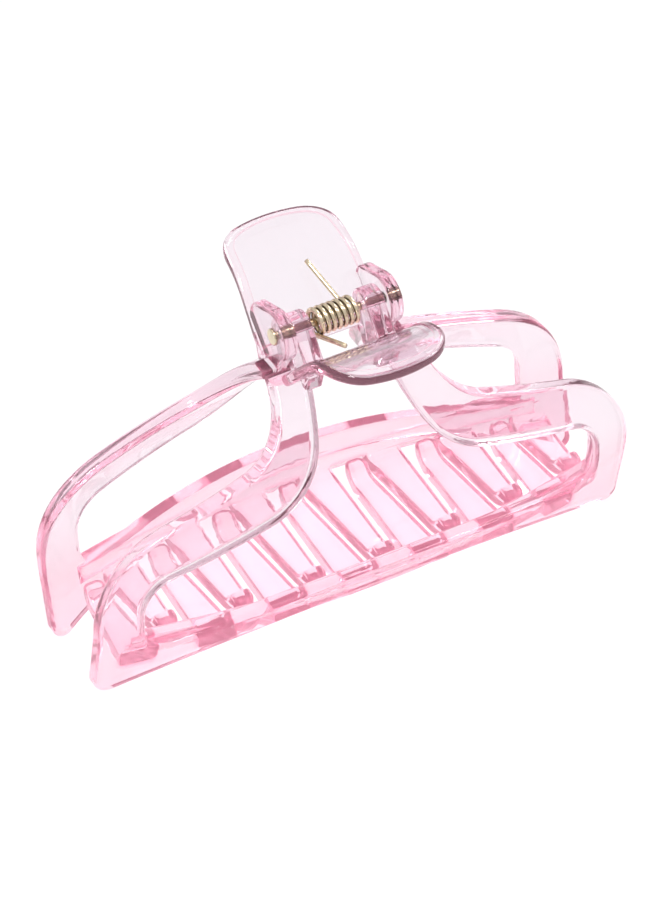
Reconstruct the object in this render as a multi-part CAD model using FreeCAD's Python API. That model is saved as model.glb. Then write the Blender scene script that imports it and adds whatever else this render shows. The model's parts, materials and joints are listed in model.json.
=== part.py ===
"""Large claw clip: two hooked jaws on a rivet pin, closed by a torsion spring.

Frame: X along the hinge, +Y towards the back jaw, +Z up, origin at the middle of the underside.
Shapes are drawn about the hinge axis and lifted to their place last. In the side profiles, y is
the distance outwards from the middle plane, which is +Y on the back jaw and -Y on the front jaw.
"""
import FreeCAD
import Part
import math
import os

V = FreeCAD.Vector

# Whole clip (mm)
HINGE_HEIGHT = 58.5          # hinge axis above the surface the clip stands on
HALF_LENGTH = 55.3           # middle to the outer face of an end panel

# Jaw shell: a band bent round in the side view and bowed in the plan view
WALL = 3.3
PROFILE_RADIUS = 36.0        # side view bend of the middle of the wall
PROFILE_CENTRE = (-17.0, -38.8)
PROFILE_STRAIGHT_BELOW_DEG = -12.5   # the bend ends here and the wall runs on straight
BOW_CENTRE_Y = -183.0        # axis of the plan view bow
SHELL_HALF_ANGLE_DEG = 20.0  # half of the band's sweep, past the end panels on both sides
SHELL_SECTION_DEG = (75.0, 30.0)     # top end and a middle point of the side view bend
SHELL_RUN = 30.0             # straight run below the bend, past the lowest corner
MID_PLANE_GAP = 0.5          # each jaw stops this far from the middle plane
SHELL_TOP = -7.9
OUTLINE_TOP = -3.0
EDGE_ROUND = 0.9
CLEAR = 60.0                 # larger than the clip's reach from the hinge, for cutting shapes

# Outline of the jaw, seen from the front
HUB_HALF_WIDTH = 13.8
ARM_TOP_AT_HUB = -15.5       # where the arm's top line meets the hub's side line
ARM_TOP_SLOPE = -0.31
ARM_TOP_FILLET = 15.0
SHOULDER_RADIUS = 19.2
CORNER_RADIUS = 2.5
CORNER_LEVEL = -60.2
BOTTOM_MIDDLE = -48.1

# Window of the jaw, seen from the front
WINDOW_TOP_HALF_WIDTH = 5.0
WINDOW_KNEE = (12.8, -25.0)
WINDOW_KNEE_RADIUS = 18.0
WINDOW_END_X = 46.8
WINDOW_TOP_SLOPE = -0.28
WINDOW_END_RADIUS = 7.3
WINDOW_CORNER_RADIUS = 4.3
BAR_TOP_MIDDLE = -43.4
BAR_TOP_AT_END = -49.6

# Teeth
TEETH_PER_JAW = 7
TOOTH_PITCH = 14.4
TOOTH_PHASE = TOOTH_PITCH / 4
TOOTH_ROOT_WIDTH = 8.0
TOOTH_TIP_WIDTH = 3.8
TOOTH_THICKNESS = 3.2
TOOTH_LEVEL = -50.9              # middle of a tooth's level stretch
TOOTH_FOLLOWS_BAR = 0.12         # share of the comb bar's drop that the teeth follow
TOOTH_TIP_Y = -12.2
TOOTH_TIP_RISE = 3.4
TOOTH_BEND_RADIUS = 4.2
TOOTH_TIP_ROUND = 1.7
TOOTH_EDGE_ROUND = 0.7

# Lip of the comb bar, curled in under it between the teeth
LIP_CURL_DEG = 55.0
LIP_HALF_ANGLE_DEG = 14.0    # about the axis of the bow

# Thumb plate
PLATE_THICKNESS = 2.2
PLATE_ROOT = (3.7, -7.66)
PLATE_RISE_DEG = 46.0
PLATE_STRAIGHT = 11.4
PLATE_BEND_RADIUS = 14.5
PLATE_TIP_DEG = -2.0
PLATE_TIP_RUN = 8.0          # straight end of the side view, past the reach
PLATE_ROOT_Y = -2.0          # start of the plan outline, inside the hub
PLATE_REACH = 25.7
PLATE_ROOT_HALF_WIDTH = 13.1
PLATE_TIP_HALF_WIDTH = 11.3
PLATE_CROWN = 2.9
PLATE_CORNER_RADIUS = 7.5
PLATE_EDGE_ROUND = 0.8
PLATE_RIM_WIDTH = 1.9        # raised rim round the dished upper face
PLATE_DISH_DEPTH = 0.3
PLATE_DISH_START_Y = 4.4

# Hinge
PIN_RADIUS = 0.8
RUNNING_CLEARANCE = 0.05
EAR_INNER_X = 9.5
EAR_OUTER_X = 12.1
EAR_RADIUS = 4.8
EAR_DOME_CENTRE = (5.6, -0.6)
EAR_DOME_RADIUS = 3.6
EAR_TANGENT_DEG = 71.6       # line that touches both circles of an ear
EAR_DOME_FOOT_DEG = -20.0    # where the dome runs into the web
EAR_WEB = [(0.5, -9.4), (3.5, -11.2), (6.3, -9.8)]   # corners inside the hub
WEB_FRONT_DEG = -120.0       # where the webs leave the bosses on the middle plane side
KNUCKLE_EDGE_ROUND = 0.6
LUG_INNER_X = 5.5
LUG_OUTER_X = 9.3
LUG_RADIUS = 3.2
LUG_TANGENT_DEG = 40.0
LUG_WEB = [(0.5, -8.2), (3.0, -10.2), (6.0, -9.6), (7.4, -4.8), (6.6, -3.0)]
PIN_HEAD_RADIUS = 1.6
PIN_HEAD_THICKNESS = 0.5
PIN_PEEN_RADIUS = 1.15

# Torsion spring
WIRE_RADIUS = 0.47
COIL_RADIUS = 2.3
COIL_HALF_LENGTH = 4.2
COIL_TURNS = 7
FRONT_LEG_RISE_DEG = 20.0
FRONT_LEG_LENGTH = 9.6
FRONT_LEG_END_X = -3.0
BACK_LEG_RISE_DEG = 26.5
BACK_LEG_LENGTH = 12.6
BACK_LEG_END_X = 1.4
ELBOW_SWELL = 1.04           # radius of the elbow ball over the wire's radius


def on_circle(centre, radius, degrees):
    """Point on a circle in a two-number plane."""
    angle = math.radians(degrees)
    return (centre[0] + radius * math.cos(angle), centre[1] + radius * math.sin(angle))


def side(point):
    """Side view point (y, z) as a vector."""
    return V(0, point[0], point[1])


def front(point):
    """Front view point (x, z) as a vector."""
    return V(point[0], 0, point[1])


def plan(point):
    """Plan view point (x, y) as a vector."""
    return V(point[0], point[1], 0)


def slab(wire, start, length):
    """Prism of a closed wire, moved by start and then extruded by length."""
    face = Part.Face(wire)
    face.translate(start)
    return face.extrude(length)


def round_edges(solid, points, radius, axis):
    """Fillets the edges parallel to axis that pass through the given points."""
    chosen = []
    for edge in solid.Edges:
        ends = [v.Point for v in edge.Vertexes]
        if len(ends) != 2 or (ends[1] - ends[0]).cross(axis).Length > 1e-6:
            continue
        for point in points:
            if (ends[0] - point).cross(axis).Length < 1e-3:
                chosen.append(edge)
    return solid.makeFillet(radius, chosen)


def arc_level(middle, end_x, end_level, x):
    """Height at x of a circular arc through (0, middle) and (end_x, end_level)."""
    drop = middle - end_level
    radius = (end_x ** 2 + drop ** 2) / (2 * drop)
    return middle - radius + math.sqrt(radius ** 2 - x ** 2)


def bow(x):
    """How far the bowed comb bar comes in at x."""
    radius = PROFILE_CENTRE[0] + PROFILE_RADIUS - BOW_CENTRE_Y
    return radius - math.sqrt(radius ** 2 - x ** 2)


def wall_y(z):
    """Distance of the middle of the wall from the middle plane, in the side view."""
    turn = math.radians(PROFILE_STRAIGHT_BELOW_DEG)
    end_y, end_z = on_circle(PROFILE_CENTRE, PROFILE_RADIUS, PROFILE_STRAIGHT_BELOW_DEG)
    if z < end_z:
        return end_y + (end_z - z) * math.tan(turn)
    return PROFILE_CENTRE[0] + math.sqrt(PROFILE_RADIUS ** 2 - (z - PROFILE_CENTRE[1]) ** 2)


def bowed(wire, half_angle_deg):
    """Solid swept by a side section as it turns about the axis of the bow."""
    face = Part.Face(wire)
    axis_point = V(0, BOW_CENTRE_Y, 0)
    face.rotate(axis_point, V(0, 0, 1), -half_angle_deg)
    return face.revolve(axis_point, V(0, 0, 1), 2 * half_angle_deg)


def shell_band():
    """The wall's side section, turned about the axis of the bow."""
    turn = math.radians(PROFILE_STRAIGHT_BELOW_DEG)
    run = V(0, math.sin(turn), -math.cos(turn)) * SHELL_RUN
    paths = []
    for radius in (PROFILE_RADIUS - WALL / 2, PROFILE_RADIUS + WALL / 2):
        angles = SHELL_SECTION_DEG + (PROFILE_STRAIGHT_BELOW_DEG,)
        points = [side(on_circle(PROFILE_CENTRE, radius, a)) for a in angles]
        arc = Part.Arc(*points).toShape()
        line = Part.makeLine(points[-1], points[-1] + run)
        paths.append((points[0], [arc, line], points[-1] + run))
    (inner_top, inner_edges, inner_end), (outer_top, outer_edges, outer_end) = paths
    caps = [Part.makeLine(inner_end, outer_end), Part.makeLine(outer_top, inner_top)]
    wire = Part.Wire(Part.__sortEdges__(inner_edges + [caps[0]] + outer_edges + [caps[1]]))
    return bowed(wire, SHELL_HALF_ANGLE_DEG)


def outline_prism():
    """Everything inside the jaw's front outline."""
    shoulder = ARM_TOP_AT_HUB + ARM_TOP_SLOPE * (HALF_LENGTH - HUB_HALF_WIDTH)
    right = [
        (HUB_HALF_WIDTH, OUTLINE_TOP),
        (HUB_HALF_WIDTH, ARM_TOP_AT_HUB),
        (HALF_LENGTH, shoulder),
        (HALF_LENGTH, CORNER_LEVEL),
    ]
    left = [(-x, z) for x, z in reversed(right)]
    edges = [Part.makeLine(front(a), front(b)) for a, b in zip(right, right[1:])]
    edges.append(Part.Arc(front(right[-1]), front((0, BOTTOM_MIDDLE)), front(left[0])).toShape())
    edges += [Part.makeLine(front(a), front(b)) for a, b in zip(left, left[1:])]
    edges.append(Part.makeLine(front(left[-1]), front(right[0])))
    prism = slab(Part.Wire(edges), V(0, -CLEAR, 0), V(0, 2 * CLEAR, 0))
    rounds = [(1, ARM_TOP_FILLET), (2, SHOULDER_RADIUS), (3, CORNER_RADIUS)]
    for index, radius in rounds:
        x, z = right[index]
        prism = round_edges(prism, [V(x, 0, z), V(-x, 0, z)], radius, V(0, 1, 0))
    return prism


def window_prism():
    """Everything inside the jaw's window."""
    knee_x, knee_z = WINDOW_KNEE
    end_z = knee_z + WINDOW_TOP_SLOPE * (WINDOW_END_X - knee_x)
    right = [
        (WINDOW_TOP_HALF_WIDTH, OUTLINE_TOP),
        (knee_x, knee_z),
        (WINDOW_END_X, end_z),
        (WINDOW_END_X, BAR_TOP_AT_END),
    ]
    left = [(-x, z) for x, z in reversed(right)]
    edges = [Part.makeLine(front(a), front(b)) for a, b in zip(right, right[1:])]
    edges.append(Part.Arc(front(right[-1]), front((0, BAR_TOP_MIDDLE)), front(left[0])).toShape())
    edges += [Part.makeLine(front(a), front(b)) for a, b in zip(left, left[1:])]
    edges.append(Part.makeLine(front(left[-1]), front(right[0])))
    prism = slab(Part.Wire(edges), V(0, -CLEAR, 0), V(0, 2 * CLEAR, 0))
    rounds = [(1, WINDOW_KNEE_RADIUS), (2, WINDOW_END_RADIUS), (3, WINDOW_CORNER_RADIUS)]
    for index, radius in rounds:
        x, z = right[index]
        prism = round_edges(prism, [V(x, 0, z), V(-x, 0, z)], radius, V(0, 1, 0))
    return prism


def jaw_shell():
    """Arms, end panels and comb bar: the band cut to the outline, with rounded edges."""
    keep = Part.makeBox(2 * CLEAR, CLEAR, 2 * CLEAR, V(-CLEAR, MID_PLANE_GAP, SHELL_TOP - 2 * CLEAR))
    shell = shell_band().common(outline_prism()).cut(window_prism()).common(keep)
    return shell.makeFillet(EDGE_ROUND, rim_edges(shell))


def rim_edges(shell):
    """Edges along the outline and the window, on both faces of the wall."""
    rim = []
    for edge in shell.Edges:
        box = edge.BoundBox
        across_wall = box.XLength < 0.01 and box.ZLength < 0.01
        seam = box.ZLength < 0.01 and box.YLength > 0.5 and box.XLength > 3
        at_hub = box.YMax < MID_PLANE_GAP + 0.1 or box.ZMin > SHELL_TOP - 0.3
        if not (across_wall or seam or at_hub):
            rim.append(edge)
    return rim


def plate_band(low, high):
    """Side view band of the thumb plate between two offsets from its middle surface."""
    rise = math.radians(PLATE_RISE_DEG)
    start = side(PLATE_ROOT)
    along = V(0, math.cos(rise), math.sin(rise))
    inward = V(0, -math.sin(rise), math.cos(rise))
    centre = start + along * PLATE_STRAIGHT - inward * PLATE_BEND_RADIUS
    tip_angle = math.radians(PLATE_TIP_DEG)
    tip_run = V(0, math.cos(tip_angle), math.sin(tip_angle)) * PLATE_TIP_RUN

    def offset_path(shift):
        bend = []
        for degrees in (PLATE_RISE_DEG, (PLATE_RISE_DEG + PLATE_TIP_DEG) / 2, PLATE_TIP_DEG):
            point = on_circle((centre.y, centre.z), PLATE_BEND_RADIUS + shift, 90 + degrees)
            bend.append(side(point))
        first = start + inward * shift
        last = bend[-1] + tip_run
        arc = Part.Arc(*bend).toShape()
        edges = [Part.makeLine(first, bend[0]), arc, Part.makeLine(bend[-1], last)]
        return edges, first, last

    upper, upper_root, upper_tip = offset_path(high)
    lower, lower_root, lower_tip = offset_path(low)
    ends = [Part.makeLine(upper_tip, lower_tip), Part.makeLine(lower_root, upper_root)]
    wire = Part.Wire(Part.__sortEdges__(upper + [ends[0]] + lower + [ends[1]]))
    return slab(wire, V(-CLEAR, 0, 0), V(2 * CLEAR, 0, 0))


def plate_prism(inset, root_y):
    """Prism over the thumb plate's plan outline, drawn in by that much."""
    reach = PLATE_REACH - inset
    root = (PLATE_ROOT_HALF_WIDTH - inset, root_y)
    corner = (PLATE_TIP_HALF_WIDTH - inset, reach - PLATE_CROWN)
    outline = [
        Part.makeLine(plan((-root[0], root[1])), plan(root)),
        Part.makeLine(plan(root), plan(corner)),
        Part.Arc(plan(corner), plan((0, reach)), plan((-corner[0], corner[1]))).toShape(),
        Part.makeLine(plan((-corner[0], corner[1])), plan((-root[0], root[1]))),
    ]
    prism = slab(Part.Wire(outline), V(0, 0, -CLEAR), V(0, 0, 2 * CLEAR))
    corners = [V(corner[0], corner[1], 0), V(-corner[0], corner[1], 0)]
    return round_edges(prism, corners, PLATE_CORNER_RADIUS - inset, V(0, 0, 1))


def thumb_plate():
    """Plate that rises from the hub and bends level, with a raised rim round its upper face."""
    half = PLATE_THICKNESS / 2
    plate = plate_band(-half, half).common(plate_prism(0, PLATE_ROOT_Y))
    plate = plate.makeFillet(PLATE_EDGE_ROUND, plate.Edges)
    above = plate_band(half - PLATE_DISH_DEPTH, half + 1)
    return plate.cut(above.common(plate_prism(PLATE_RIM_WIDTH, PLATE_DISH_START_Y)))


def knuckle(inner_x, outer_x, circles, web):
    """Pair of bosses round the hinge axis, each with a web down to the hub and softened edges."""
    width = outer_x - inner_x
    pair = []
    for start_x in (inner_x, -outer_x):
        bosses = [Part.makeCylinder(r, width, V(start_x, y, z), V(1, 0, 0)) for y, z, r in circles]
        wire = Part.makePolygon([side(p) for p in web + web[:1]])
        block = slab(wire, V(start_x, 0, 0), V(width, 0, 0))
        solid = block.fuse(bosses).removeSplitter()
        rims = [edge for edge in solid.Edges if edge.BoundBox.XLength < 0.01]
        pair.append(solid.makeFillet(KNUCKLE_EDGE_ROUND, rims))
    return pair


def ears():
    """Outer ears of the back jaw, domed back towards the thumb plate."""
    hub = (0, 0)
    dome = EAR_DOME_CENTRE
    web = [on_circle(hub, EAR_RADIUS, WEB_FRONT_DEG)]
    web += EAR_WEB
    web.append(on_circle(dome, EAR_DOME_RADIUS, EAR_DOME_FOOT_DEG))
    web.append(on_circle(dome, EAR_DOME_RADIUS, EAR_TANGENT_DEG))
    web.append(on_circle(hub, EAR_RADIUS, EAR_TANGENT_DEG))
    circles = [hub + (EAR_RADIUS,), dome + (EAR_DOME_RADIUS,)]
    return knuckle(EAR_INNER_X, EAR_OUTER_X, circles, web)


def lugs():
    """Inner lugs of the front jaw."""
    centre = (0, 0)
    web = [on_circle(centre, LUG_RADIUS, WEB_FRONT_DEG)]
    web += LUG_WEB
    web.append(on_circle(centre, LUG_RADIUS, LUG_TANGENT_DEG))
    return knuckle(LUG_INNER_X, LUG_OUTER_X, [centre + (LUG_RADIUS,)], web)


def comb_lip():
    """Curled lower lip of the comb bar, which the teeth grow out of."""
    centre = (wall_y(TOOTH_LEVEL) - TOOTH_BEND_RADIUS, TOOTH_LEVEL + TOOTH_BEND_RADIUS)
    half = TOOTH_THICKNESS / 2
    arcs = []
    for radius in (TOOTH_BEND_RADIUS + half, TOOTH_BEND_RADIUS - half):
        angles = (0, -LIP_CURL_DEG / 2, -LIP_CURL_DEG)
        points = [side(on_circle(centre, radius, a)) for a in angles]
        arcs.append((points, Part.Arc(*points).toShape()))
    (outer_points, outer), (inner_points, inner) = arcs
    top = Part.makeLine(inner_points[0], outer_points[0])
    end = Part.makeLine(outer_points[-1], inner_points[-1])
    return bowed(Part.Wire([top, outer, end, inner]), LIP_HALF_ANGLE_DEG)


def tooth(x):
    """Tapered tooth: down from the comb bar, level across the clip, and turned up at its tip."""
    inset = bow(x)
    bar_bottom = arc_level(BOTTOM_MIDDLE, HALF_LENGTH, CORNER_LEVEL, x)
    level = TOOTH_LEVEL - TOOTH_FOLLOWS_BAR * (BOTTOM_MIDDLE - bar_bottom)
    root_y = wall_y(level) - inset
    tip_y = TOOTH_TIP_Y + inset
    half = TOOTH_THICKNESS / 2
    bend_level = level + TOOTH_BEND_RADIUS
    root_centre = (root_y - TOOTH_BEND_RADIUS, bend_level)
    tip_centre = (tip_y + TOOTH_BEND_RADIUS, bend_level)
    tip_angle = 270 - math.degrees(math.acos(1 - TOOTH_TIP_RISE / TOOTH_BEND_RADIUS))

    def bend(centre, radius, start, end):
        angles = (start, (start + end) / 2, end)
        return Part.Arc(*[side(on_circle(centre, radius, a)) for a in angles]).toShape()

    outer = TOOTH_BEND_RADIUS + half
    inner = TOOTH_BEND_RADIUS - half
    outer_root = bend(root_centre, outer, 0, -90)
    outer_tip = bend(tip_centre, outer, 270, tip_angle)
    inner_tip = bend(tip_centre, inner, tip_angle, 270)
    inner_root = bend(root_centre, inner, -90, 0)
    parts = [outer_root, outer_tip, inner_tip, inner_root]
    edges = []
    for index, edge in enumerate(parts):
        edges.append(edge)
        following = parts[(index + 1) % len(parts)]
        edges.append(Part.makeLine(edge.Vertexes[-1].Point, following.Vertexes[0].Point))
    width = 2 * TOOTH_ROOT_WIDTH
    bar_of_tooth = slab(Part.Wire(edges), V(x - TOOTH_ROOT_WIDTH, 0, 0), V(width, 0, 0))

    root_half = TOOTH_ROOT_WIDTH / 2
    tip_half = TOOTH_TIP_WIDTH / 2
    tip_end = on_circle(tip_centre, outer, tip_angle)[0]
    taper = [
        plan((x - root_half, root_y + outer)),
        plan((x + root_half, root_y + outer)),
        plan((x + tip_half, tip_end)),
        plan((x - tip_half, tip_end)),
    ]
    wedge = slab(Part.makePolygon(taper + taper[:1]), V(0, 0, level - CLEAR), V(0, 0, 2 * CLEAR))
    wedge = round_edges(wedge, taper[2:], TOOTH_TIP_ROUND, V(0, 0, 1))
    solid = bar_of_tooth.common(wedge)
    return solid.makeFillet(TOOTH_EDGE_ROUND, tooth_edges(solid))


def tooth_edges(solid):
    """Edges of a tooth to round: all but those of the end inside the comb bar."""
    top = solid.BoundBox.ZMax - 0.01
    chosen = []
    for edge in solid.Edges:
        middle = edge.valueAt((edge.FirstParameter + edge.LastParameter) / 2)
        if middle.z < top or middle.y < 0:
            chosen.append(edge)
    return chosen


def teeth():
    """The comb's row of teeth."""
    middle = TEETH_PER_JAW // 2
    return [tooth(TOOTH_PHASE + TOOTH_PITCH * (k - middle)) for k in range(TEETH_PER_JAW)]


def jaw(knuckles, bore_radius):
    """One jaw about the hinge axis, opening out towards +Y."""
    body = jaw_shell()
    body = body.fuse([thumb_plate(), comb_lip()] + knuckles + teeth())
    bore = Part.makeCylinder(bore_radius, 2 * CLEAR, V(-CLEAR, 0, 0), V(1, 0, 0))
    body = body.cut(bore)
    below = Part.makeBox(2 * CLEAR, 2 * CLEAR, CLEAR, V(-CLEAR, -CLEAR, -HINGE_HEIGHT - CLEAR))
    return body.cut(below).removeSplitter()


def back_jaw():
    """Jaw with the outer ears that grip the pin."""
    return jaw(ears(), PIN_RADIUS)


def front_jaw():
    """Jaw with the inner lugs that turn on the pin."""
    body = jaw(lugs(), PIN_RADIUS + RUNNING_CLEARANCE)
    body.rotate(V(0, 0, 0), V(0, 0, 1), 180)
    return body


def hinge_pin():
    """Rivet pin: shaft, flat head at the left ear, peened end at the right ear."""
    left = V(-EAR_OUTER_X, 0, 0)
    right = V(EAR_OUTER_X, 0, 0)
    along = V(1, 0, 0)
    shaft = Part.makeCylinder(PIN_RADIUS, 2 * EAR_OUTER_X, left, along)
    head = Part.makeCylinder(PIN_HEAD_RADIUS, PIN_HEAD_THICKNESS, left, -along)
    head = head.makeFillet(PIN_HEAD_THICKNESS / 2, [head.Edges[0]])
    peen = Part.makeCone(PIN_PEEN_RADIUS, PIN_RADIUS / 2, PIN_HEAD_THICKNESS, right, along)
    return shaft.fuse([head, peen]).removeSplitter()


def spring_leg(start_x, end_x, side_sign, rise_deg, length):
    """Straight leg that leaves the underside of the coil on one side, with rounded ends."""
    rise = math.radians(rise_deg)
    y = side_sign * COIL_RADIUS * math.sin(rise)
    start = V(start_x, y, -COIL_RADIUS * math.cos(rise))
    run = V(end_x - start_x, side_sign * length * math.cos(rise), length * math.sin(rise))
    rod = Part.makeCylinder(WIRE_RADIUS, run.Length, start, run)
    elbow = Part.makeSphere(WIRE_RADIUS * ELBOW_SWELL, start)
    tip = Part.makeSphere(WIRE_RADIUS, start + run)
    return rod.fuse([elbow, tip])


def torsion_spring():
    """Coil round the pin, with a leg out of each end."""
    start_deg = -90 - FRONT_LEG_RISE_DEG
    sweep_deg = 360 * COIL_TURNS + FRONT_LEG_RISE_DEG + BACK_LEG_RISE_DEG
    length = 2 * COIL_HALF_LENGTH
    pitch = length * 360 / sweep_deg
    helix = Part.makeHelix(pitch, length, COIL_RADIUS)
    section = Part.Wire(Part.makeCircle(WIRE_RADIUS, V(COIL_RADIUS, 0, 0), V(0, 1, 0)))
    coil = Part.Wire(helix.Edges).makePipeShell([section], True, True)
    coil.rotate(V(0, 0, 0), V(0, 0, 1), start_deg)
    along_x = FreeCAD.Rotation(V(0, 1, 0), V(0, 0, 1), V(1, 0, 0), "ZXY")
    coil.Placement = FreeCAD.Placement(V(-COIL_HALF_LENGTH, 0, 0), along_x).multiply(coil.Placement)
    front = (FRONT_LEG_END_X, -1, FRONT_LEG_RISE_DEG, FRONT_LEG_LENGTH)
    back = (BACK_LEG_END_X, 1, BACK_LEG_RISE_DEG, BACK_LEG_LENGTH)
    return coil.fuse([spring_leg(-COIL_HALF_LENGTH, *front), spring_leg(COIL_HALF_LENGTH, *back)])


def write(name, solid):
    """Lifts a sub-part to its place and saves it."""
    solid.translate(V(0, 0, HINGE_HEIGHT))
    volume = round(solid.Volume, 1)
    print(name, "valid", solid.isValid(), "solids", len(solid.Solids), "volume", volume)
    solid.exportStep("parts/%s.step" % name)


os.makedirs("parts", exist_ok=True)
write("back_jaw", back_jaw())
write("front_jaw", front_jaw())
write("hinge_pin", hinge_pin())
write("torsion_spring", torsion_spring())
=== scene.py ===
"""Clear pink claw clip with a brass pin and spring, standing closed on a pale floor."""
import json
import math

import bpy
from mathutils import Matrix, Vector


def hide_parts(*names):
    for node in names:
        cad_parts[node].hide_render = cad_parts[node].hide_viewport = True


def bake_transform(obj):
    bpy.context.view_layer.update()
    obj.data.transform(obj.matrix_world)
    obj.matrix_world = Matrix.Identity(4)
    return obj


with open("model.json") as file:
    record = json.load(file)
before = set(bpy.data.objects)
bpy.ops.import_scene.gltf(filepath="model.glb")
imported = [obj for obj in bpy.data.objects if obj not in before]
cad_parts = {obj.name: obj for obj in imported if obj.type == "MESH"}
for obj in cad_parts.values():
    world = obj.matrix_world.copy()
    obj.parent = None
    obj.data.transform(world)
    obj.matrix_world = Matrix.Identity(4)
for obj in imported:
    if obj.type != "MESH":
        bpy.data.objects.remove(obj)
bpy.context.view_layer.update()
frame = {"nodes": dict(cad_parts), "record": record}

MM = 0.001

# Places, from the frame
HINGE = Vector(frame["record"]["behaviour"]["joints"][0]["pos_m"])

# Camera, facing the hinge and then slid along its own right and up directions (m)
CAMERA_AZIMUTH_DEG = -28.69
CAMERA_ELEVATION_DEG = 40.24
CAMERA_ROLL_DEG = 0.82
CAMERA_DISTANCE = 0.839
CAMERA_SLIDE = (-0.00054, -0.0240)
CAMERA_LENS_MM = 188.3
CAMERA_CLIP_START = 0.01

# Spring wire (mm), about the hinge axis
WIRE_RADIUS = 0.47
COIL_RADIUS = 2.3
COIL_HALF_LENGTH = 4.2
COIL_TURNS = 7
STEPS_PER_TURN = 40
FRONT_LEG_RISE_DEG = 20.0
FRONT_LEG_LENGTH = 9.6
FRONT_LEG_LEAN = 1.2
BACK_LEG_RISE_DEG = 26.5
BACK_LEG_LENGTH = 12.6
BACK_LEG_LEAN = -2.8
LEG_STEPS = 12
WIRE_SIDES = 14
WIRE_DOME = 0.4              # height of the wire's domed ends over its radius

# Clear pink plastic: dye inside, and a tint at each surface the light crosses; pinker near edges,
# as a painted edge glow
PLASTIC_IOR = 1.49
PLASTIC_ROUGHNESS = (0.0, 0.05)
DYE_COLOUR = (0.995, 0.74, 0.83, 1.0)
DYE_DENSITY = 74.0
FACE_TINT = (0.895, 0.90, 0.92, 1.0)
# Painted edge glow: pink base colour near edges, standing in for light carried through the plastic
# to its rims
PAINTED_EDGE_TINT = (1.0, 0.66, 0.76, 1.0)
SHADOW_TINT = (1.0, 0.96, 0.975, 1.0)
HAZE_SCALE = 140.0
RIPPLE_SCALE = 60.0
RIPPLE_HEIGHT = 0.00015
RIPPLE_STRENGTH = 0.5
FINE_RIPPLE_SCALE = 420.0
FINE_RIPPLE_HEIGHT = 0.00003
FINE_RIPPLE_STRENGTH = 0.6

# Painted pink glow at edges and on the comb, standing in for light carried through the plastic, as
# a share of the surface
EDGE_GLOW_WIDTH = 0.0015
EDGE_OPENNESS = (0.35, 0.85)         # occlusion at an edge and on a broad face
EDGE_SAMPLES = 6
PAINTED_GLOW_COLOUR = (1.0, 0.44, 0.58, 1.0)
GLOW_AT_EDGE = 0.34
GLOW_AT_COMB_EDGE = 0.60
GLOW_ON_FACE = 0.025
GLOW_ON_COMB = 0.12
COMB_HEIGHTS = (0.011, 0.021)        # comb values below the first, arm values above the second

# Brass of the pin and the spring, with painted shade in its crevices
BRASS_DARK = (0.10, 0.06, 0.03, 1.0)
BRASS_BRIGHT = (0.82, 0.70, 0.50, 1.0)
BRASS_CREVICE = 0.0006
BRASS_OPENNESS = (0.35, 0.9)         # occlusion in a crevice and in the open
BRASS_SAMPLES = 8
BRASS_MOTTLE_SCALE = 900.0
BRASS_MOTTLE = (0.75, 1.0)
BRASS_ROUGHNESS = (0.14, 0.28)
BRASS_MARK_HEIGHT = 0.00002
BRASS_MARK_STRENGTH = 0.4
PIN_MARK_SCALE = 1500.0
SPRING_MARK_SCALE = 2600.0

# Floor and world
FLOOR_SIZE = 6.0
FLOOR_COLOUR = (0.5, 0.5, 0.5, 1.0)
FLOOR_ROUGHNESS = 0.9
FLOOR_GLOW = (1.0, 1.0, 1.0, 1.0)
FLOOR_GLOW_STRENGTH = 0.36
WORLD_COLOUR = (0.98, 0.97, 1.0, 1.0)
WORLD_STRENGTH = (0.6, 0.8)          # at the horizon and high up
WORLD_HEIGHTS = (0.0, 0.8)

# Soft boxes: name, azimuth and elevation in degrees, distance, width, power in watts
SOFT_BOXES = [
    ("key_softbox", -60, 60, 0.7, 0.2, 2.3),
    ("fill_softbox", 70, 45, 0.8, 0.2, 1.6),
    ("back_softbox", 120, 35, 0.8, 0.3, 1.6),
]

# Bounces that light needs to get through both jaws
LIGHT_BOUNCES = 40


def set_inputs(node, **values):
    """Set a node's sockets, named with underscores for spaces."""
    for name, value in values.items():
        node.inputs[name.replace("_", " ")].default_value = value


def new_material(name):
    """Empty material with its output node."""
    material = bpy.data.materials.new(name)
    material.use_nodes = True
    tree = material.node_tree
    tree.nodes.clear()
    output = tree.nodes.new("ShaderNodeOutputMaterial")
    return material, tree, output


def noise(tree, scale, detail=2.0):
    """Noise in object space, so it rides with the piece."""
    coords = tree.nodes.new("ShaderNodeTexCoord")
    node = tree.nodes.new("ShaderNodeTexNoise")
    set_inputs(node, Scale=scale, Detail=detail)
    tree.links.new(coords.outputs["Object"], node.inputs["Vector"])
    return node.outputs["Fac"]


def mapped(tree, value, low, high, start=0.3, end=0.7):
    """A 0 to 1 value spread over low to high."""
    node = tree.nodes.new("ShaderNodeMapRange")
    set_inputs(node, From_Min=start, From_Max=end, To_Min=low, To_Max=high)
    tree.links.new(value, node.inputs["Value"])
    return node.outputs["Result"]


def bump(tree, value, height, strength=1.0, over=None):
    """Normal with a bump of that height, in metres, over another bump if one is given."""
    node = tree.nodes.new("ShaderNodeBump")
    set_inputs(node, Strength=strength, Distance=height)
    tree.links.new(value, node.inputs["Height"])
    if over is not None:
        tree.links.new(over, node.inputs["Normal"])
    return node.outputs["Normal"]


def edge_nearness(tree):
    """Mask for the painted edge glow: 1 on broad faces, falling to 0 within EDGE_GLOW_WIDTH of an
    edge.
    """
    near_edge = tree.nodes.new("ShaderNodeAmbientOcclusion")
    near_edge.inside = True
    near_edge.only_local = True
    near_edge.samples = EDGE_SAMPLES
    set_inputs(near_edge, Distance=EDGE_GLOW_WIDTH)
    return mapped(tree, near_edge.outputs["AO"], 0.0, 1.0, *EDGE_OPENNESS)


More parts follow.
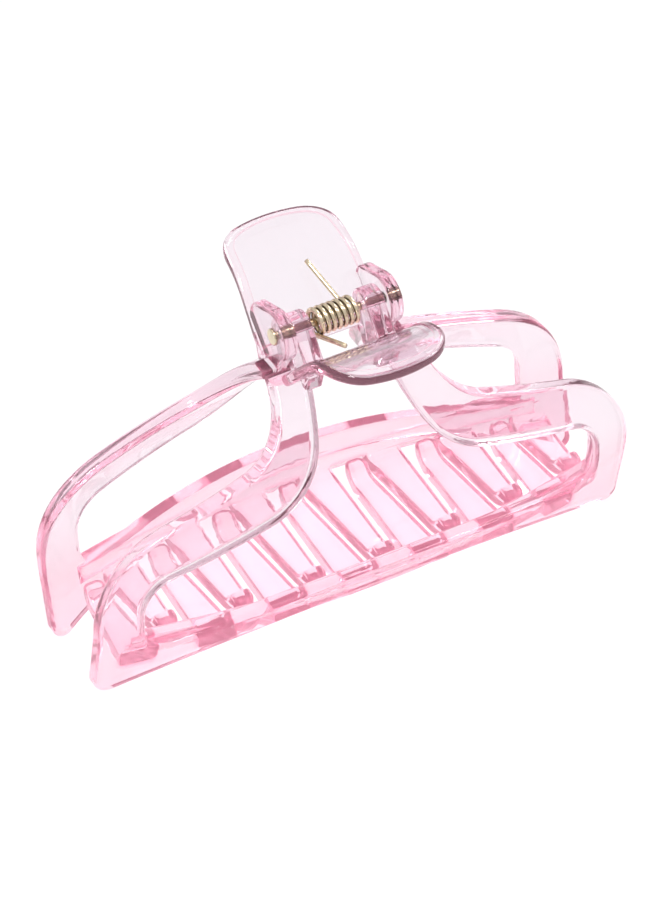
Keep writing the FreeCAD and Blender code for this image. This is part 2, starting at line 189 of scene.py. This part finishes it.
def painted_glow_amount(tree, openness):
    """Share of the painted pink glow: most at edges, more on the crowded comb than on the arms."""
    coords = tree.nodes.new("ShaderNodeTexCoord")
    split = tree.nodes.new("ShaderNodeSeparateXYZ")
    tree.links.new(coords.outputs["Object"], split.inputs[0])
    on_face = mapped(tree, split.outputs["Z"], GLOW_ON_COMB, GLOW_ON_FACE, *COMB_HEIGHTS)
    at_edge = mapped(tree, split.outputs["Z"], GLOW_AT_COMB_EDGE, GLOW_AT_EDGE, *COMB_HEIGHTS)
    blend = tree.nodes.new("ShaderNodeMix")
    tree.links.new(at_edge, blend.inputs["A"])
    tree.links.new(openness, blend.inputs["Factor"])
    tree.links.new(on_face, blend.inputs["B"])
    return blend.outputs["Result"]


def clear_pink_plastic():
    """Injection-moulded clear plastic: pink dye inside, painted pink glow at the edges, a faint
    ripple and haze.
    """
    material, tree, output = new_material("clear_pink_plastic")
    openness = edge_nearness(tree)
    # Painted edge glow: pinker base colour near edges
    ramp = tree.nodes.new("ShaderNodeValToRGB")
    ramp.color_ramp.elements[0].color = PAINTED_EDGE_TINT
    ramp.color_ramp.elements[1].color = FACE_TINT
    tree.links.new(openness, ramp.inputs["Fac"])

    clear = tree.nodes.new("ShaderNodeBsdfPrincipled")
    set_inputs(clear, IOR=PLASTIC_IOR, Transmission_Weight=1.0)
    tree.links.new(ramp.outputs["Color"], clear.inputs["Base Color"])
    haze = mapped(tree, noise(tree, HAZE_SCALE, 3.0), *PLASTIC_ROUGHNESS)
    tree.links.new(haze, clear.inputs["Roughness"])
    ripple = bump(tree, noise(tree, RIPPLE_SCALE, 1.0), RIPPLE_HEIGHT, RIPPLE_STRENGTH)
    fine_noise = noise(tree, FINE_RIPPLE_SCALE, 2.0)
    fine_ripple = bump(tree, fine_noise, FINE_RIPPLE_HEIGHT, FINE_RIPPLE_STRENGTH, ripple)
    tree.links.new(fine_ripple, clear.inputs["Normal"])

    # Painted pink glow, standing in for light carried through the plastic: a pink diffuse and
    # translucent layer
    glow_through = tree.nodes.new("ShaderNodeBsdfTranslucent")
    set_inputs(glow_through, Color=PAINTED_GLOW_COLOUR)
    glow_back = tree.nodes.new("ShaderNodeBsdfDiffuse")
    set_inputs(glow_back, Color=PAINTED_GLOW_COLOUR)
    glow = tree.nodes.new("ShaderNodeMixShader")
    tree.links.new(glow_through.outputs[0], glow.inputs[1])
    tree.links.new(glow_back.outputs[0], glow.inputs[2])
    glowing = tree.nodes.new("ShaderNodeMixShader")
    tree.links.new(painted_glow_amount(tree, openness), glowing.inputs[0])
    tree.links.new(clear.outputs[0], glowing.inputs[1])
    tree.links.new(glow.outputs[0], glowing.inputs[2])

    passing = tree.nodes.new("ShaderNodeBsdfTransparent")
    set_inputs(passing, Color=SHADOW_TINT)
    rays = tree.nodes.new("ShaderNodeLightPath")
    mix = tree.nodes.new("ShaderNodeMixShader")
    tree.links.new(rays.outputs["Is Shadow Ray"], mix.inputs[0])
    tree.links.new(glowing.outputs[0], mix.inputs[1])
    tree.links.new(passing.outputs[0], mix.inputs[2])
    tree.links.new(mix.outputs[0], output.inputs["Surface"])

    dye = tree.nodes.new("ShaderNodeVolumeAbsorption")
    set_inputs(dye, Color=DYE_COLOUR, Density=DYE_DENSITY)
    tree.links.new(dye.outputs[0], output.inputs["Volume"])
    return material


def brass(name, drawn_scale):
    """Bright brass plating with fine drawing marks, darker in its crevices as painted shade."""
    material, tree, output = new_material(name)
    shader = tree.nodes.new("ShaderNodeBsdfPrincipled")
    set_inputs(shader, Metallic=1.0)
    # Painted shade: darker where the occlusion finds a crevice, times a random mottle of the
    # brass's tone
    crevice = tree.nodes.new("ShaderNodeAmbientOcclusion")
    crevice.samples = BRASS_SAMPLES
    set_inputs(crevice, Distance=BRASS_CREVICE)
    shade_and_mottle = tree.nodes.new("ShaderNodeMath")
    shade_and_mottle.operation = "MULTIPLY"
    openness = mapped(tree, crevice.outputs["AO"], 0.0, 1.0, *BRASS_OPENNESS)
    tree.links.new(openness, shade_and_mottle.inputs[0])
    mottle = mapped(tree, noise(tree, BRASS_MOTTLE_SCALE, 3.0), *BRASS_MOTTLE)
    tree.links.new(mottle, shade_and_mottle.inputs[1])
    ramp = tree.nodes.new("ShaderNodeValToRGB")
    ramp.color_ramp.elements[0].color = BRASS_DARK
    ramp.color_ramp.elements[1].color = BRASS_BRIGHT
    tree.links.new(shade_and_mottle.outputs[0], ramp.inputs["Fac"])
    tree.links.new(ramp.outputs["Color"], shader.inputs["Base Color"])
    roughness = mapped(tree, noise(tree, drawn_scale, 4.0), *BRASS_ROUGHNESS)
    tree.links.new(roughness, shader.inputs["Roughness"])
    marks = bump(tree, noise(tree, drawn_scale, 4.0), BRASS_MARK_HEIGHT, BRASS_MARK_STRENGTH)
    tree.links.new(marks, shader.inputs["Normal"])
    tree.links.new(shader.outputs[0], output.inputs["Surface"])
    return material


def paint(node, material):
    """Give a CAD node that material in each of its slots."""
    piece = frame["nodes"][node]
    for place in piece.material_slots:
        place.link = "OBJECT"
        place.material = material


def spring_route():
    """Middle of the spring's wire, from the front leg's tip to the back leg's tip, in mm."""
    start = math.radians(-90 - FRONT_LEG_RISE_DEG)
    sweep = math.radians(360 * COIL_TURNS + FRONT_LEG_RISE_DEG + BACK_LEG_RISE_DEG)
    count = STEPS_PER_TURN * COIL_TURNS
    coil = []
    for k in range(count + 1):
        angle = start + sweep * k / count
        x = -COIL_HALF_LENGTH + 2 * COIL_HALF_LENGTH * k / count
        coil.append(Vector((x, COIL_RADIUS * math.cos(angle), COIL_RADIUS * math.sin(angle))))

    def leg(foot, rise_deg, length, lean, side):
        rise = math.radians(rise_deg)
        run = Vector((lean, side * length * math.cos(rise), length * math.sin(rise)))
        return [foot + run * k / LEG_STEPS for k in range(1, LEG_STEPS + 1)]

    front = leg(coil[0], FRONT_LEG_RISE_DEG, FRONT_LEG_LENGTH, FRONT_LEG_LEAN, -1)
    back = leg(coil[-1], BACK_LEG_RISE_DEG, BACK_LEG_LENGTH, BACK_LEG_LEAN, 1)
    return front[::-1] + coil + back


def wire_mesh(name, route, radius, sides):
    """Round wire along a route, with domed ends. All in metres."""
    vertices = []
    faces = []
    normal = None
    last = len(route) - 1
    for k, point in enumerate(route):
        ahead = route[min(k + 1, last)] - route[max(k - 1, 0)]
        ahead.normalize()
        if normal is None:
            normal = ahead.orthogonal().normalized()
        normal = (normal - ahead * normal.dot(ahead)).normalized()
        across = ahead.cross(normal)
        for s in range(sides):
            turn = 2 * math.pi * s / sides
            vertices.append(point + (normal * math.cos(turn) + across * math.sin(turn)) * radius)
    for k in range(last):
        for s in range(sides):
            a = k * sides + s
            b = k * sides + (s + 1) % sides
            faces.append((a, b, b + sides, a + sides))
    for ring, neighbour in ((0, 1), (last, last - 1)):
        tip = len(vertices)
        outwards = route[ring] - route[neighbour]
        vertices.append(route[ring] + outwards.normalized() * radius * WIRE_DOME)
        for s in range(sides):
            a = ring * sides + s
            b = ring * sides + (s + 1) % sides
            faces.append((b, a, tip) if ring == 0 else (a, b, tip))
    mesh = bpy.data.meshes.new(name)
    mesh.from_pydata([tuple(v) for v in vertices], [], faces)
    mesh.update()
    mesh.polygons.foreach_set("use_smooth", [True] * len(mesh.polygons))
    piece = bpy.data.objects.new(name, mesh)
    bpy.context.collection.objects.link(piece)
    return piece


def add_spring():
    """Torsion spring of brass wire coiled about the hinge, in place of the CAD spring."""
    route = [HINGE + point * MM for point in spring_route()]
    piece = wire_mesh("spring_wire", route, WIRE_RADIUS * MM, WIRE_SIDES)
    piece.data.materials.append(brass("spring_brass", SPRING_MARK_SCALE))
    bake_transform(piece)
    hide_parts("torsion_spring")


def add_floor():
    """Plain pale floor."""
    bpy.ops.mesh.primitive_plane_add(size=FLOOR_SIZE, location=(0, 0, 0))
    floor = bpy.context.object
    floor.name = "floor"
    material, tree, output = new_material("pale_floor")
    shader = tree.nodes.new("ShaderNodeBsdfPrincipled")
    set_inputs(shader, Base_Color=FLOOR_COLOUR, Roughness=FLOOR_ROUGHNESS)
    set_inputs(shader, Emission_Color=FLOOR_GLOW, Emission_Strength=FLOOR_GLOW_STRENGTH)
    tree.links.new(shader.outputs[0], output.inputs["Surface"])
    floor.data.materials.append(material)


def add_area_light(name, azimuth_deg, elevation_deg, distance, size, power):
    """Soft square lamp that faces the clip."""
    light = bpy.data.lights.new(name, "AREA")
    light.energy = power
    light.size = size
    lamp = bpy.data.objects.new(name, light)
    bpy.context.collection.objects.link(lamp)
    a = math.radians(azimuth_deg)
    e = math.radians(elevation_deg)
    away = Vector((math.sin(a) * math.cos(e), -math.cos(a) * math.cos(e), math.sin(e)))
    lamp.location = HINGE + away * distance
    lamp.rotation_euler = away.to_track_quat("Z", "Y").to_euler()


def add_lights():
    """White studio: a bright world, a little stronger high up, and the soft boxes."""
    world = bpy.data.worlds.new("studio")
    bpy.context.scene.world = world
    world.use_nodes = True
    tree = world.node_tree
    coords = tree.nodes.new("ShaderNodeTexCoord")
    split = tree.nodes.new("ShaderNodeSeparateXYZ")
    tree.links.new(coords.outputs["Generated"], split.inputs[0])
    strength = mapped(tree, split.outputs["Z"], *WORLD_STRENGTH, *WORLD_HEIGHTS)
    background = tree.nodes["Background"]
    set_inputs(background, Color=WORLD_COLOUR)
    tree.links.new(strength, background.inputs["Strength"])
    for soft_box in SOFT_BOXES:
        add_area_light(*soft_box)


def add_camera():
    """Camera at the chosen viewing angle."""
    a = math.radians(CAMERA_AZIMUTH_DEG)
    e = math.radians(CAMERA_ELEVATION_DEG)
    r = math.radians(CAMERA_ROLL_DEG)
    level = Vector((math.cos(a), math.sin(a), 0))
    towards = Vector((math.sin(a) * math.cos(e), -math.cos(a) * math.cos(e), math.sin(e)))
    upright = towards.cross(level)
    right = level * math.cos(r) - upright * math.sin(r)
    up = level * math.sin(r) + upright * math.cos(r)
    camera = bpy.data.objects.new("camera", bpy.data.cameras.new("camera"))
    camera.data.lens = CAMERA_LENS_MM
    camera.data.clip_start = CAMERA_CLIP_START
    place = HINGE + towards * CAMERA_DISTANCE + right * CAMERA_SLIDE[0] + up * CAMERA_SLIDE[1]
    turn = Matrix((right, up, towards)).transposed().to_4x4()
    camera.matrix_world = Matrix.Translation(place) @ turn
    bpy.context.collection.objects.link(camera)
    bpy.context.scene.camera = camera


plastic = clear_pink_plastic()
paint("back_jaw", plastic)
paint("front_jaw", plastic)
paint("hinge_pin", brass("pin_brass", PIN_MARK_SCALE))
add_spring()
add_floor()
add_lights()
add_camera()
bpy.context.scene.view_settings.view_transform = "Standard"
bpy.context.scene.cycles.max_bounces = LIGHT_BOUNCES
bpy.context.scene.cycles.transmission_bounces = LIGHT_BOUNCES
